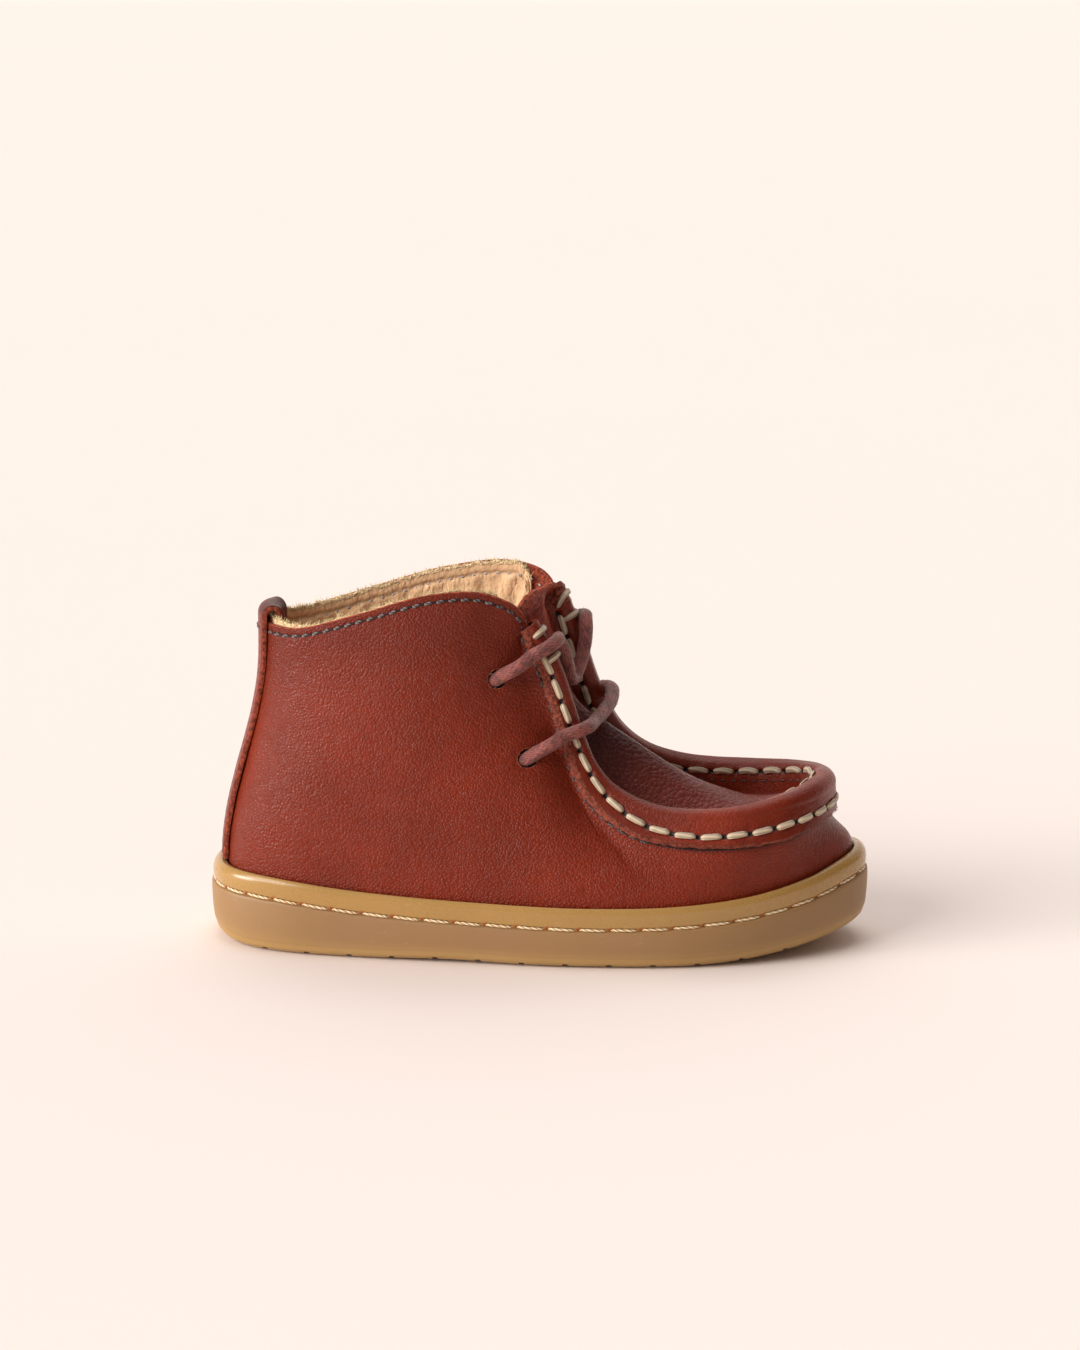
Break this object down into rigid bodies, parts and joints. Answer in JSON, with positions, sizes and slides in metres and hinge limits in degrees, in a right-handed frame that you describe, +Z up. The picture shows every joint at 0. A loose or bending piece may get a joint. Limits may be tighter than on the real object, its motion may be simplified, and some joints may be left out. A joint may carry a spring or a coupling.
{
  "type": "child's moccasin-toe ankle boot",
  "caption": "Right child's lace-up moccasin-toe ankle boot: hollow leather upper with sunken apron, rolled hand-sewn seam, tongue, heel strip and lace on a gum-rubber cup sole.",
  "frame": {"origin": "on the ground under the middle of the sole", "axes": "+X from heel to toe, +Y towards the inner side of the foot, +Z up"},
  "size_m": [0.1594, 0.06, 0.0891],
  "materials": {
    "leather": "smooth oiled cognac leather with a soft sheen",
    "apron_leather": "pebbled darker leather",
    "gum_rubber": "moulded gum rubber, glossy rim and matte side",
    "sock_leather": "unfinished tan lining leather",
    "lace_cotton": "round waxed cotton lace"
  },
  "bodies": {
    "root": {"cupsole": "gum_rubber", "insole": "sock_leather", "upper": "leather", "apron_and_tongue": "apron_leather", "seam_binding": "leather", "heel_strip": "leather", "lace_lower_bar": "lace_cotton", "lace_upper_loop": "lace_cotton"}
  },
  "joints": []
}
